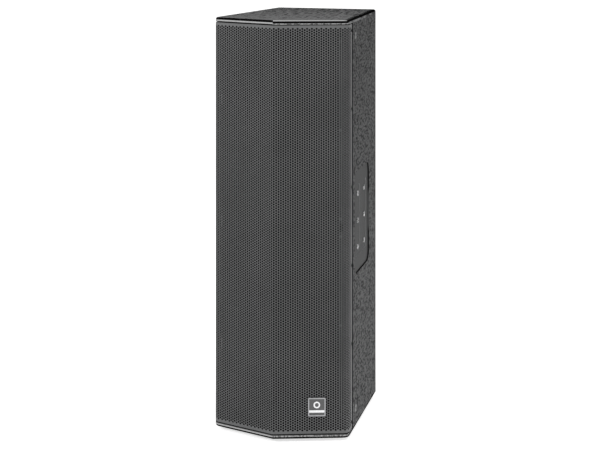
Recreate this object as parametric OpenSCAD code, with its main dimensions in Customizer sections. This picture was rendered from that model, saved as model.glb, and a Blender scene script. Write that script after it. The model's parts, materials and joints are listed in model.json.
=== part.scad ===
// Column line-array loudspeaker: a tapered plywood cabinet with a folded, perforated
// grille, three woofers in a column and two tall tweeter waveguides beside them.
// Origin: middle of the base on the floor. +Z is up and the grille faces -Y. Millimetres.

/* [Cabinet] */
// Height of the plywood cabinet, without its feet
cabinet_h = 1070; // [1060:5:1100]
// Width across the two front corners
front_w = 366; // [364:1:380]
// Depth from the front ridge to the back edge
cabinet_d = 494; // [480:1:520]
// Angle of each front face, away from flat
face_angle = 20.25; // [18:0.25:22]
// Angle by which each side leans in towards the back
side_taper = 5.3; // [4:0.1:5.4]
// Thickness of the side, rear and brace boards
board_t = 15; // [15:0.5:16]
// Thickness of the top and bottom boards
lid_t = 11; // [10:0.5:14]
// Thickness of the baffle
baffle_t = 18; // [16:1:20]
// Set-back of the rear board from the back edge
rear_recess = 6; // [5:1:10]
// Height of the rubber feet below the cabinet
foot_h = 8; // [5:1:15]

/* [Grille] */
// Thickness of the grille's steel sheet
grille_t = 1.5; // [1:0.1:2]
// Outer bend radius where the grille turns onto the side
bend_r = 20; // [18:1:22]
// Length of the grille's return along the side, from the sharp corner
grille_return = 46; // [44:1:54]
// Width of the open groove between the grille's edge and the side board's surface
seam_gap = 13; // [5:0.5:14]
// Number of grille screws on each side
grille_screw_count = 6; // [4:1:8]
// Thickness of the foam behind the grille
foam_t = 5; // [3:1:6]

/* [Badge] */
// Width of the badge
badge_w = 45; // [35:1:60]
// Height of the badge
badge_h = 47; // [35:1:60]
// Distance of the badge's middle from the ridge, along the face
badge_x = 113; // [90:1:120]
// Height of the badge's middle above the bottom of the cabinet
badge_z = 82; // [60:1:120]

/* [Side plates] */
// Length of the side plate along the side
plate_l = 223; // [200:1:225]
// Height of the side plate
plate_h = 268; // [240:1:280]
// Distance of the plate's middle from the front corner, along the side
plate_y = 200; // [190:1:205]
// Height of the plate's middle above the bottom of the cabinet
side_plate_z = 531; // [520:1:540]
// Thickness of the side plate
plate_t = 4; // [3:0.5:4]
// Depth of the plate's face below the side board's surface
plate_sunk = 3.5; // [2:0.5:4]
// Column spacing of the plate's screws
plate_pitch_y = 96; // [80:1:110]
// Row spacing of the plate's screws
plate_pitch_z = 71; // [60:1:80]

/* [Rigging] */
// Hole radius of the M8 rigging inserts
insert_r = 4; // [3:0.5:5]
// Distance of the side inserts from the front corner, along the side
side_insert_y = 105; // [95:1:110]
// Distance of the side inserts from the cabinet's top and bottom
side_insert_end = 48; // [40:1:60]
// Sideways distance of each top insert from the middle
top_insert_x = 123; // [100:1:130]
// Distance of the top inserts behind the front ridge
top_insert_d = 164; // [150:1:180]

/* [Woofers] */
// Sideways place of the woofer column
woofer_x = -62; // [-62:1:-61]
// Height between neighbouring woofers
woofer_pitch = 320; // [300:5:322]
// Radius of the woofer's mounting flange
flange_r = 103; // [102:0.5:103]
// Radius of the woofer's cut-out in the baffle
cutout_r = 92; // [91:0.5:93]
// Outer radius of the paper cone
cone_r = 74; // [72:0.5:75]
// Radius of the magnet
magnet_r = 66; // [60:1:70]
// Greatest travel of a woofer's cone from rest, each way
cone_travel = 5; // [3:1:6]

/* [Tweeters] */
// Sideways place of the waveguides
guide_x = 104; // [103:0.5:105]
// Width of each waveguide's flange
guide_w = 118; // [110:1:118]
// Height of each waveguide's flange
guide_h = 478; // [460:1:480]
// Depth of the waveguide from the baffle's face to its throat
guide_d = 90; // [80:1:110]
// Radius of the compression driver
driver_r = 46; // [44:1:47]

/* [Hidden] */
$fn = 48;
eps = 0.01;          // overshoot of cutters past the face they cut
glue_gap = 0.2;      // gap between boards that are glued together
shank_gap = 0.1;     // radial gap around a screw's shank
ridge_r = 6.5;       // rounding of the boards at the front ridge
back_r = 6.5;        // rounding of the boards' back edges
lip_r = 6;           // round-over of the top and bottom boards

// Plan of the cabinet
ridge_y = -cabinet_d / 2;
back_y = cabinet_d / 2;
corner_y = ridge_y + front_w / 2 * tan(face_angle);
side_l = (back_y - corner_y) / cos(side_taper);
back_x = front_w / 2 - (back_y - corner_y) * tan(side_taper);
plan = [[0, ridge_y], [front_w / 2, corner_y], [back_x, back_y], [-back_x, back_y], [-front_w / 2, corner_y]];
plan_r = [ridge_r, bend_r, back_r, back_r, bend_r];

// Heights
low_z = foot_h;                       // underside of the bottom board
high_z = foot_h + cabinet_h;          // top of the top board
in_low = low_z + lid_t;               // inside of the bottom board
in_high = high_z - lid_t;             // inside of the top board
side_low = in_low + 0.1;              // the side boards stand on a film of glue
side_h = in_high - in_low - 0.2;
mid_z = (low_z + high_z) / 2;
lid_gap = 2.5;                        // gap between the grille and the top and bottom boards

// Boards
panel_start = 16;                     // where the side board starts behind the front corner
rebate_d = grille_t + 0.3;            // depth of the side board's rebate for the grille
baffle_y = corner_y + 12;             // the baffle's front face
rear_out = back_y - rear_recess;      // the rear board's outer face
rear_in = rear_out - board_t;         // the rear board's inner face
brace_z = [mid_z - woofer_pitch / 2, mid_z + woofer_pitch / 2];

// Fasteners
grille_screw_y = grille_return - 5;
grille_screw_end = 30;                // first grille screw from the cabinet's end
grille_screw_r = 2;
woofer_screw_r = 2.4;
woofer_screw_pcd = 97.2;              // radius of the ring of woofer screws
guide_screw_r = 2;
plate_screw_r = 4;
connector_screw_r = 1.5;

// Rigging inserts
insert_flange_r = 9.5;
insert_body_r = 6;

// Badge
badge_t = 2;                          // backing plate
badge_trim_t = 1.2;                   // raised frame
badge_rim = 3;                        // width of the frame
badge_corner_r = 3;
badge_band_t = 0.9;                   // band and ring
badge_band_h = 6;
badge_band_z = -11;                   // heights from the badge's middle
badge_ring_z = 5.5;
badge_ring_r = 8.5;

// Side plate
plate_mid = low_z + side_plate_z;
plate_pocket_gap = 1;                 // gap between the plate and its pocket
plate_corner_r = 30;
channel_w = 66;                       // shallow channels pressed in the plate
channel_h = 186;
channel_d = 0.8;

// Woofers, along their own axis: 0 is the baffle's face, + is forwards
woofer_z = [mid_z + woofer_pitch, mid_z, mid_z - woofer_pitch];
flange_t = 4;
seat_z = 1.5;                         // height of the surround's seat
seat_r = 85;                          // inner radius of that seat
neck_z = -24;                         // back of the cone's neck
coil_r = 19;                          // inner radius of the voice coil's former
former_t = 0.3;
neck_r = coil_r + former_t;
shelf_z = -40;                        // the shelf that the spider is glued to
plate_z = -56;                        // front of the magnet's top plate
plate_ring_t = 8;
magnet_t = 20;
yoke_t = 10;
magnet_z = plate_z - plate_ring_t;
yoke_z = magnet_z - magnet_t;
shell_t = 0.8;                        // wall of the dust cap and the surround
cap_r = 32;
cap_rise = 9;

// Tweeters, along their own axis
guide_z = [mid_z + guide_h / 2 + 11, mid_z - guide_h / 2 - 11];
mouth_w = 84;
mouth_h = 440;
guide_wall = 3;
throat_r = 18;
driver_l = 56;
dome_r = 24;
cavity_r = 32;
cavity_l = 18;

// Rear connector plate
conn_w = 130;
conn_h = 96;
conn_z = low_z + 150;
conn_t = 2;
socket_pitch = 52;
socket_r = 14;
board_gap = 8;                        // from the circuit board's face to the rear board

// ---- helpers ----

function unit(v) = v / norm(v);

// Middle of the circle of radius r that touches both edges at the corner p
function corner_centre(before, p, after, r) =
    let (u = unit(before - p), v = unit(after - p))
    p + unit(u + v) * r / sin(acos(u * v) / 2);

function reversed(list) = [for (i = [len(list) - 1:-1:0]) list[i]];

// Point of the plan given by its depth under the right side's surface and its way along it
function side_point(depth, along) =
    [front_w / 2, corner_y] + along * [-sin(side_taper), cos(side_taper)]
    - depth * [cos(side_taper), sin(side_taper)];

// Right half of the front's outline, at a depth under its surface, ridge first
function front_line(depth, end) =
    let (c = corner_centre(plan[0], plan[1], plan[2], bend_r))
    concat(
        [[0, ridge_y + depth / cos(face_angle)]],
        [for (i = [0:8]) let (a = face_angle - 90 + i / 8 * (90 - face_angle + side_taper))
            c + (bend_r - depth) * [cos(a), sin(a)]],
        [side_point(depth, end)]);

module mirrored_x(side) {
    if (side > 0) children();
    else mirror([1, 0, 0]) children();
}

// Frame of a side: x = 0 is its surface, y runs back from the sharp front corner
module on_side(side) {
    mirrored_x(side) translate([front_w / 2, corner_y, 0]) rotate([0, 0, side_taper]) children();
}

// Frame of the right front face: x runs along it from the ridge, -y points out
module on_face() {
    translate([0, ridge_y, 0]) rotate([0, 0, face_angle]) children();
}

// Frame of a driver on the baffle: +z points forwards out of the cabinet
module on_baffle(x, z) {
    translate([x, baffle_y, z]) rotate([90, 0, 0]) children();
}

// Block whose four corners along x are rounded, centred on y and z
module rounded_block(t, l, h, r) {
    translate([-t, 0, 0]) {
        translate([0, -l / 2 + r, -h / 2]) cube([t, l - 2 * r, h]);
        translate([0, -l / 2, -h / 2 + r]) cube([t, l, h - 2 * r]);
        for (y = [-1, 1], z = [-1, 1])
            translate([0, y * (l / 2 - r), z * (h / 2 - r)]) rotate([0, 90, 0]) cylinder(r = r, h = t);
    }
}

// Disc with a rounded upper edge
module rounded_disc(r, t, edge) {
    rotate_extrude($fn = 32)
        polygon(concat([[0, 0], [r, 0]],
            [for (a = [0:15:90]) [r - edge + edge * cos(a), t - edge + edge * sin(a)]],
            [[0, t]]));
}

// Board with the cabinet's plan and a rounded upper edge
module plan_board(t) {
    hull()
        for (i = [0:4]) {
            c = corner_centre(plan[(i + 4) % 5], plan[i], plan[(i + 1) % 5], plan_r[i]);
            translate([c.x, c.y, 0]) rounded_disc(plan_r[i], t, lip_r);
        }
}

module tube(r_in, r_out, z, h) {
    translate([0, 0, z]) difference() {
        cylinder(r = r_out, h = h);
        translate([0, 0, -eps]) cylinder(r = r_in, h = h + 2 * eps);
    }
}

// Screw along z: the head stands on z = 0 and has a cross recess
module screw(shank_r, shank_l, head_r, head_h) {
    difference() {
        union() {
            cylinder(r = head_r, h = head_h);
            translate([0, 0, -shank_l]) cylinder(r = shank_r, h = shank_l + eps);
        }
        for (a = [0, 90])
            rotate([0, 0, a]) translate([-head_r * 0.6, -head_r * 0.15, head_h * 0.4])
                cube([head_r * 1.2, head_r * 0.3, head_h]);
    }
}

// Clearance hole along z for such a screw
module screw_hole(shank_r, l) {
    translate([0, 0, -l]) cylinder(r = shank_r + shank_gap, h = 2 * l);
}

// Places of the fasteners
module at_grille_screws() {
    step = (cabinet_h - 2 * grille_screw_end) / (grille_screw_count - 1);
    for (i = [0:grille_screw_count - 1])
        translate([0, grille_screw_y, low_z + grille_screw_end + i * step]) rotate([0, 90, 0]) children();
}

module at_plate_screws() {
    for (y = [-1, 1], z = [-1:1])
        translate([0, plate_y + y * plate_pitch_y / 2, plate_mid + z * plate_pitch_z]) rotate([0, 90, 0]) children();
}

module at_side_inserts() {
    for (z = [low_z + side_insert_end, high_z - side_insert_end])
        translate([0, side_insert_y, z]) rotate([0, 90, 0]) children();
}

module at_top_inserts() {
    for (x = [-1, 1])
        translate([x * top_insert_x, ridge_y + top_insert_d, high_z]) children();
}

module at_feet() {
    for (x = [-1, 1]) {
        translate([x * 125, corner_y + 45, 0]) children();
        translate([x * 105, back_y - 50, 0]) children();
    }
}

module at_woofer_screws() {
    for (z = woofer_z, i = [0:7])
        on_baffle(woofer_x, z) rotate([0, 0, i * 45 + 22.5]) translate([woofer_screw_pcd, 0, 0]) children();
}

module at_guide_screws() {
    for (z = guide_z, x = [-1, 1], k = [-1:1])
        on_baffle(guide_x + x * (guide_w / 2 - 6), z + k * (guide_h / 2 - 12)) children();
}

module at_connector_screws() {
    for (x = [-1, 1], z = [-1, 1])
        translate([x * (conn_w / 2 - 8), rear_out, conn_z + z * (conn_h / 2 - 8)]) rotate([-90, 0, 0]) children();
}

module at_sockets() {
    for (x = [-1, 1])
        translate([x * socket_pitch / 2, rear_out, conn_z]) rotate([-90, 0, 0]) children();
}

// ---- cabinet ----

module side_panel(side) {
    color("#3c3c3e") on_side(side)
        difference() {
            union() {
                translate([-board_t, panel_start, side_low])
                    cube([board_t, side_l - back_r - panel_start, side_h]);
                translate([-board_t, side_l - back_r - 1, side_low])
                    cube([board_t - back_r, back_r + 1, side_h]);
                translate([-back_r, side_l - back_r, side_low]) cylinder(r = back_r, h = side_h);
            }
            translate([-rebate_d, 0, 0]) cube([2 * rebate_d, grille_return + seam_gap, high_z]);
            translate([eps, plate_y, plate_mid])
                rounded_block(plate_sunk + plate_t + eps, plate_l, plate_h, plate_corner_r);
            at_grille_screws() screw_hole(grille_screw_r, 2 * board_t);
            at_plate_screws() screw_hole(plate_screw_r, 2 * board_t);
            at_side_inserts() translate([0, 0, -2]) cylinder(r = insert_flange_r + shank_gap, h = 3);
            at_side_inserts() screw_hole(insert_body_r, 2 * board_t);
        }
}

module left_side_panel() { side_panel(-1); }

module right_side_panel() { side_panel(1); }

module top_panel() {
    color("#47474a") difference() {
        translate([0, 0, in_high]) plan_board(lid_t);
        at_top_inserts() translate([0, 0, -2]) cylinder(r = insert_flange_r + shank_gap, h = 3);
        at_top_inserts() screw_hole(insert_body_r, 2 * lid_t);
    }
}

module bottom_panel() {
    color("#3c3c3e") difference() {
        translate([0, 0, in_low]) mirror([0, 0, 1]) plan_board(lid_t);
        at_feet() translate([0, 0, low_z - 1]) cylinder(r = 4 + shank_gap, h = 12);
    }
}

// Board between the sides, from y0 to y1
module between_sides(y0, y1, z, h) {
    translate([0, 0, z]) linear_extrude(h) polygon([
        for (p = [[1, y0], [1, y1], [-1, y1], [-1, y0]])
            [p.x * (side_point(board_t + glue_gap, (p.y - corner_y) / cos(side_taper)).x), p.y]
    ]);
}

module rear_panel() {
    color("#333335") difference() {
        between_sides(rear_in, rear_out, in_low + glue_gap, in_high - in_low - 2 * glue_gap);
        at_connector_screws() screw_hole(connector_screw_r, 2 * board_t);
        translate([-conn_w / 2 + 16, rear_in - 1, conn_z - conn_h / 2 + 20])
            cube([conn_w - 32, board_t + 2, conn_h - 40]);
    }
}

module baffle() {
    color("#2e2e30") difference() {
        between_sides(baffle_y, baffle_y + baffle_t, in_low + glue_gap, in_high - in_low - 2 * glue_gap);
        for (z = woofer_z)
            on_baffle(woofer_x, z) translate([0, 0, -baffle_t - 1]) cylinder(r = cutout_r, h = baffle_t + 2);
        for (z = guide_z)
            translate([guide_x - mouth_w / 2 - 5, baffle_y - 1, z - mouth_h / 2 - 5])
                cube([mouth_w + 10, baffle_t + 2, mouth_h + 10]);
        at_woofer_screws() screw_hole(woofer_screw_r, 2 * baffle_t);
        at_guide_screws() screw_hole(guide_screw_r, 2 * baffle_t);
    }
}

module internal_braces() {
    y0 = baffle_y + baffle_t + glue_gap;
    y1 = rear_in - glue_gap;
    color("#c9a877") for (z = brace_z)
        difference() {
            between_sides(y0, y1, z - board_t / 2, board_t);
            translate([guide_x - guide_w / 2 - 4, y0 - 1, z - board_t]) cube([guide_w + 60, 96, 2 * board_t]);
            for (x = [-1, 1])
                translate([x * 68 - 45, 10, z - board_t]) cube([90, 150, 2 * board_t]);
        }
}

module damping_pads() {
    pad_t = 25;
    color("#8d8a80")
        for (z = [brace_z[0] + 20, brace_z[1] + 20])
            translate([-100, rear_in - pad_t - 1, z]) cube([200, pad_t, 280]);
}

// ---- front ----

module front_sheet(outer, inner, end, z, h) {
    line_out = front_line(outer, end);
    line_in = front_line(inner, end);
    flip = function (list) [for (p = list) [-p.x, p.y]];
    tail = function (list) [for (i = [1:len(list) - 1]) list[i]];
    translate([0, 0, z]) linear_extrude(h)
        polygon(concat(line_out, reversed(line_in), flip(tail(line_in)), reversed(flip(tail(line_out)))));
}

module front_grille() {
    color("#4d4d50") difference() {
        front_sheet(0, grille_t, grille_return, in_low + lid_gap, in_high - in_low - 2 * lid_gap);
        for (side = [-1, 1])
            on_side(side) at_grille_screws() screw_hole(grille_screw_r, 5);
    }
}

module grille_foam() {
    foam_l = front_w / 2 / cos(face_angle) - bend_r - 4;
    gap = 0.3;
    color("#1b1b1c")
        translate([0, 0, in_low + 2]) linear_extrude(in_high - in_low - 4)
            polygon([
                for (p = [[0, gap], [1, gap], [1, gap + foam_t], [0, gap + foam_t], [-1, gap + foam_t], [-1, gap]])
                    let (d = grille_t + p.y)
                    [p.x * foam_l * cos(face_angle),
                     ridge_y + abs(p.x) * foam_l * sin(face_angle) + d / cos(face_angle)]
            ]);
}

module grille_screws() {
    color("#2a2a2c") for (side = [-1, 1])
        on_side(side) at_grille_screws() screw(grille_screw_r, 12, 4, 2.2);
}

// Frame of the badge: y = 0 is its back, just off the grille, and -y points out
module on_badge(y) {
    on_face() translate([badge_x, y - glue_gap, low_z + badge_z]) children();
}

module badge_slab(t, w, h, r) {
    rotate([0, 0, 90]) rounded_block(t, w, h, r);
}

module badge_plate() {
    color("#2a2a2c") on_badge(0) badge_slab(badge_t, badge_w, badge_h, badge_corner_r);
}

// Raised frame with a plain band across it, and a plain ring
module badge_trim() {
    open_w = badge_w - 2 * badge_rim;
    color("#d8d8d8") on_badge(-badge_t - glue_gap) {
        difference() {
            badge_slab(badge_trim_t, badge_w, badge_h, badge_corner_r);
            translate([0, 1, 0])
                badge_slab(badge_trim_t + 2, open_w, badge_h - 2 * badge_rim, badge_corner_r / 2);
        }
        translate([-open_w / 2 - eps, -badge_band_t, badge_band_z - badge_band_h / 2])
            cube([open_w + 2 * eps, badge_band_t, badge_band_h]);
        translate([0, 0, badge_ring_z]) rotate([90, 0, 0]) tube(badge_ring_r - 3.5, badge_ring_r, 0, badge_band_t);
    }
}

// ---- sides, top and base ----

module side_plate(side) {
    color("#39393b") on_side(side) difference() {
        translate([-plate_sunk, plate_y, plate_mid])
            rounded_block(plate_t - glue_gap, plate_l - 2 * plate_pocket_gap, plate_h - 2 * plate_pocket_gap,
                plate_corner_r - plate_pocket_gap);
        for (y = [-1, 1])
            translate([-plate_sunk + eps, plate_y + y * plate_pitch_y / 2, plate_mid])
                rounded_block(channel_d + eps, channel_w, channel_h, 12);
        at_plate_screws() screw_hole(plate_screw_r, board_t);
    }
}

module left_side_plate() { side_plate(-1); }

module right_side_plate() { side_plate(1); }

module side_plate_screws() {
    color("#9a9a9c") for (side = [-1, 1])
        on_side(side) at_plate_screws() translate([0, 0, -plate_sunk - channel_d]) screw(plate_screw_r, 18, 7, 1.8);
}

module insert(l) {
    color("#b0b0b2") {
        tube(insert_r, insert_flange_r, -2, 1.7);
        tube(insert_r, insert_body_r, -l, l - 2 + eps);
    }
}

module rigging_inserts() {
    for (side = [-1, 1])
        on_side(side) at_side_inserts() insert(board_t - 1);
    at_top_inserts() insert(lid_t - 1);
}

module rubber_feet() {
    color("#202020") at_feet() {
        cylinder(r1 = 14, r2 = 17, h = foot_h);
        translate([0, 0, foot_h - eps]) cylinder(r = 4, h = 9);
    }
}

// ---- woofers ----

module woofer_basket(i) {
    color("#55565a") on_baffle(woofer_x, woofer_z[i]) difference() {
        rotate_extrude() polygon([
            [flange_r, 0], [flange_r, flange_t], [91, flange_t], [91, seat_z], [seat_r, seat_z], [seat_r, 0],
            [60, shelf_z], [50, shelf_z], [50, shelf_z - 3], [57, shelf_z - 3], [57, plate_z + 3],
            [30, plate_z + 3], [30, plate_z], [60, plate_z], [60, shelf_z - 4], [88.5, 0]
        ]);
        for (a = [0:60:300])
            rotate([0, 0, a]) translate([68, 0, -4]) rotate([0, 180, 0]) cylinder(r = 19, h = 31);
        for (a = [0:7])
            rotate([0, 0, a * 45 + 22.5]) translate([woofer_screw_pcd, 0, 0]) screw_hole(woofer_screw_r, 10);
    }
}

module woofer_surround(i) {
    roll_r = (seat_r - cone_r) / 2;
    color("#1d1d1e") on_baffle(woofer_x, woofer_z[i]) {
        rotate_extrude() translate([cone_r + shank_gap + roll_r, seat_z]) difference() {
            circle(r = roll_r);
            circle(r = roll_r - shell_t);
            translate([-roll_r, -2 * roll_r]) square(2 * roll_r);
        }
        tube(seat_r + shank_gap - shell_t, 90.8, seat_z, shell_t);
    }
}

module woofer_spider(i) {
    color("#b98a4a") on_baffle(woofer_x, woofer_z[i])
        rotate_extrude() polygon(concat(
            [for (k = [0:12]) [neck_r + shank_gap + k * 2.5, shelf_z + (k % 2) * 2.5]],
            [[56, shelf_z], [56, shelf_z + 0.8]],
            [for (k = [12:-1:0]) [neck_r + shank_gap + k * 2.5, shelf_z + 0.8 + (k % 2) * 2.5]]));
}

module woofer_cone(i) {
    color("#232325") on_baffle(woofer_x, woofer_z[i])
        rotate_extrude() polygon([[neck_r, neck_z], [cone_r, 0], [cone_r, 1.2], [neck_r, neck_z + 1.4]]);
}

module woofer_dust_cap(i) {
    ball_r = (cap_r * cap_r + cap_rise * cap_rise) / (2 * cap_rise);
    rim_z = neck_z + 1.4 + (cap_r - neck_r) * (-neck_z - 0.2) / (cone_r - neck_r) + 0.1;
    color("#1a1a1b") on_baffle(woofer_x, woofer_z[i])
        translate([0, 0, rim_z]) intersection() {
            translate([0, 0, cap_rise - ball_r]) difference() {
                sphere(r = ball_r);
                sphere(r = ball_r - shell_t);
            }
            cylinder(r = cap_r, h = cap_rise + 1);
        }
}

module woofer_voice_coil(i) {
    bottom = plate_z - 16;
    color("#b5703c") on_baffle(woofer_x, woofer_z[i])
        rotate_extrude() polygon([
            [coil_r, bottom], [neck_r + 0.6, bottom], [neck_r + 0.6, bottom + 16], [neck_r, bottom + 16],
            [neck_r, neck_z + 1.4], [coil_r, neck_z + 1.4]
        ]);
}

module woofer_top_plate(i) {
    color("#8f9093") on_baffle(woofer_x, woofer_z[i])
        tube(neck_r + 1.2, 60, magnet_z, plate_ring_t);
}

module woofer_magnet(i) {
    color("#3a3a3c") on_baffle(woofer_x, woofer_z[i])
        tube(32, magnet_r, yoke_z, magnet_t);
}

module woofer_yoke(i) {
    color("#8f9093") on_baffle(woofer_x, woofer_z[i]) {
        translate([0, 0, yoke_z - yoke_t]) cylinder(r = magnet_r - 4, h = yoke_t);
        translate([0, 0, yoke_z - eps]) cylinder(r = coil_r - 0.4, h = plate_z - yoke_z + eps);
    }
}

module woofer_screws() {
    color("#2a2a2c") at_woofer_screws() translate([0, 0, flange_t]) screw(woofer_screw_r, 20, 4.4, 3);
}

// ---- tweeters ----

module horn_shape(grow) {
    hull() {
        translate([-mouth_w / 2 - grow, -mouth_h / 2 - grow, -1])
            cube([mouth_w + 2 * grow, mouth_h + 2 * grow, 1]);
        translate([0, 0, -guide_d]) cylinder(r = throat_r + grow, h = 1, $fn = 32);
    }
}

module tweeter_waveguide(i) {
    color("#1e1e20") on_baffle(guide_x, guide_z[i]) difference() {
        union() {
            translate([-guide_w / 2, -guide_h / 2, 0]) cube([guide_w, guide_h, 4]);
            horn_shape(guide_wall);
            translate([-mouth_w / 2 - guide_wall, -mouth_h / 2 - guide_wall, -1])
                cube([mouth_w + 2 * guide_wall, mouth_h + 2 * guide_wall, 2]);
        }
        horn_shape(0);
        translate([-mouth_w / 2, -mouth_h / 2, -1.5]) cube([mouth_w, mouth_h, 7]);
        translate([0, 0, -guide_d - 1]) cylinder(r = throat_r, h = 3);
        for (x = [-1, 1], k = [-1:1])
            translate([x * (guide_w / 2 - 6), k * (guide_h / 2 - 12), 0]) screw_hole(guide_screw_r, 10);
    }
}

module tweeter_body(i) {
    color("#6e7074") on_baffle(guide_x, guide_z[i]) translate([0, 0, -guide_d - driver_l])
        difference() {
            cylinder(r = driver_r, h = driver_l - glue_gap);
            translate([0, 0, -1]) cylinder(r = throat_r, h = driver_l + 2);
            translate([0, 0, -1]) cylinder(r = cavity_r, h = cavity_l + 1);
        }
}

module tweeter_diaphragm(i) {
    ball_r = 32;
    rise = ball_r - sqrt(ball_r * ball_r - dome_r * dome_r);
    color("#c4c6c8") on_baffle(guide_x, guide_z[i]) translate([0, 0, -guide_d - driver_l + 5]) {
        intersection() {
            translate([0, 0, rise - ball_r]) difference() {
                sphere(r = ball_r);
                sphere(r = ball_r - 0.4);
            }
            cylinder(r = dome_r, h = rise + 1);
        }
        tube(dome_r - 0.5, cavity_r - shank_gap, 0, 0.4);
    }
}

module tweeter_cover(i) {
    color("#2b2b2d") on_baffle(guide_x, guide_z[i]) translate([0, 0, -guide_d - driver_l - 16])
        difference() {
            cylinder(r1 = driver_r - 12, r2 = driver_r - 4, h = 16 - glue_gap);
            translate([0, 0, 3]) cylinder(r = driver_r - 16, h = 20);
        }
}

module tweeter_screws() {
    color("#2a2a2c") at_guide_screws() translate([0, 0, 4]) screw(guide_screw_r, 18, 3.8, 2.4);
}

// ---- rear connections and crossover ----

module connector_plate() {
    color("#252527") difference() {
        translate([-conn_w / 2, rear_out + glue_gap, conn_z - conn_h / 2]) cube([conn_w, conn_t, conn_h]);
        at_connector_screws() screw_hole(connector_screw_r, 10);
        at_sockets() translate([0, 0, -5]) cylinder(r = socket_r + shank_gap, h = 15);
    }
}

// Round four-pole sockets: a cup with a centre post
module speaker_sockets() {
    color("#17181a") at_sockets() {
        tube(socket_r - 2, socket_r, -24, 24 + conn_t + glue_gap);
        tube(socket_r - 2, socket_r + 3, conn_t + glue_gap, 2);
        translate([0, 0, -24]) cylinder(r = socket_r, h = 2);
        translate([0, 0, -24]) cylinder(r = 7, h = 24);
    }
}

module connector_screws() {
    color("#2a2a2c") at_connector_screws() translate([0, 0, conn_t + glue_gap]) screw(connector_screw_r, 14, 3, 1.8);
}

// Circuit board on four spacers that are moulded to it
module crossover_board() {
    color("#2f5d3a") translate([0, rear_in - board_gap, low_z + 275]) {
        translate([-90, 0, -60]) cube([180, 1.6, 120]);
        for (x = [-82, 82], z = [-52, 52])
            translate([x, 1, z]) rotate([-90, 0, 0]) cylinder(r = 4, h = board_gap - 1 - glue_gap);
    }
}

module crossover_coils() {
    color("#b5703c") for (x = [-45, 45])
        translate([x, rear_in - board_gap - glue_gap, low_z + 275]) rotate([90, 0, 0]) tube(12, 30, 0, 24);
}

// ---- nodes ----

module upper_woofer_basket() { woofer_basket(0); }
module upper_woofer_surround() { woofer_surround(0); }
module upper_woofer_spider() { woofer_spider(0); }
module upper_woofer_cone() { woofer_cone(0); }
module upper_woofer_dust_cap() { woofer_dust_cap(0); }
module upper_woofer_voice_coil() { woofer_voice_coil(0); }
module upper_woofer_top_plate() { woofer_top_plate(0); }
module upper_woofer_magnet() { woofer_magnet(0); }
module upper_woofer_yoke() { woofer_yoke(0); }
module middle_woofer_basket() { woofer_basket(1); }
module middle_woofer_surround() { woofer_surround(1); }
module middle_woofer_spider() { woofer_spider(1); }
module middle_woofer_cone() { woofer_cone(1); }
module middle_woofer_dust_cap() { woofer_dust_cap(1); }
module middle_woofer_voice_coil() { woofer_voice_coil(1); }
module middle_woofer_top_plate() { woofer_top_plate(1); }
module middle_woofer_magnet() { woofer_magnet(1); }
module middle_woofer_yoke() { woofer_yoke(1); }
module lower_woofer_basket() { woofer_basket(2); }
module lower_woofer_surround() { woofer_surround(2); }
module lower_woofer_spider() { woofer_spider(2); }
module lower_woofer_cone() { woofer_cone(2); }
module lower_woofer_dust_cap() { woofer_dust_cap(2); }
module lower_woofer_voice_coil() { woofer_voice_coil(2); }
module lower_woofer_top_plate() { woofer_top_plate(2); }
module lower_woofer_magnet() { woofer_magnet(2); }
module lower_woofer_yoke() { woofer_yoke(2); }
module upper_tweeter_waveguide() { tweeter_waveguide(0); }
module upper_tweeter_body() { tweeter_body(0); }
module upper_tweeter_diaphragm() { tweeter_diaphragm(0); }
module upper_tweeter_cover() { tweeter_cover(0); }
module lower_tweeter_waveguide() { tweeter_waveguide(1); }
module lower_tweeter_body() { tweeter_body(1); }
module lower_tweeter_diaphragm() { tweeter_diaphragm(1); }
module lower_tweeter_cover() { tweeter_cover(1); }

left_side_panel();
right_side_panel();
top_panel();
bottom_panel();
rear_panel();
baffle();
internal_braces();
damping_pads();
front_grille();
grille_foam();
grille_screws();
badge_plate();
badge_trim();
left_side_plate();
right_side_plate();
side_plate_screws();
rigging_inserts();
rubber_feet();
upper_woofer_basket();
upper_woofer_surround();
upper_woofer_spider();
upper_woofer_cone();
upper_woofer_dust_cap();
upper_woofer_voice_coil();
upper_woofer_top_plate();
upper_woofer_magnet();
upper_woofer_yoke();
middle_woofer_basket();
middle_woofer_surround();
middle_woofer_spider();
middle_woofer_cone();
middle_woofer_dust_cap();
middle_woofer_voice_coil();
middle_woofer_top_plate();
middle_woofer_magnet();
middle_woofer_yoke();
lower_woofer_basket();
lower_woofer_surround();
lower_woofer_spider();
lower_woofer_cone();
lower_woofer_dust_cap();
lower_woofer_voice_coil();
lower_woofer_top_plate();
lower_woofer_magnet();
lower_woofer_yoke();
woofer_screws();
upper_tweeter_waveguide();
upper_tweeter_body();
upper_tweeter_diaphragm();
upper_tweeter_cover();
lower_tweeter_waveguide();
lower_tweeter_body();
lower_tweeter_diaphragm();
lower_tweeter_cover();
tweeter_screws();
connector_plate();
speaker_sockets();
connector_screws();
crossover_board();
crossover_coils();
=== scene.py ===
"""Looks of the column loudspeaker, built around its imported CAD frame. Units are metres."""

import json
import math

import bmesh
import bpy
import numpy as np
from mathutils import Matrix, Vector, noise


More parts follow.
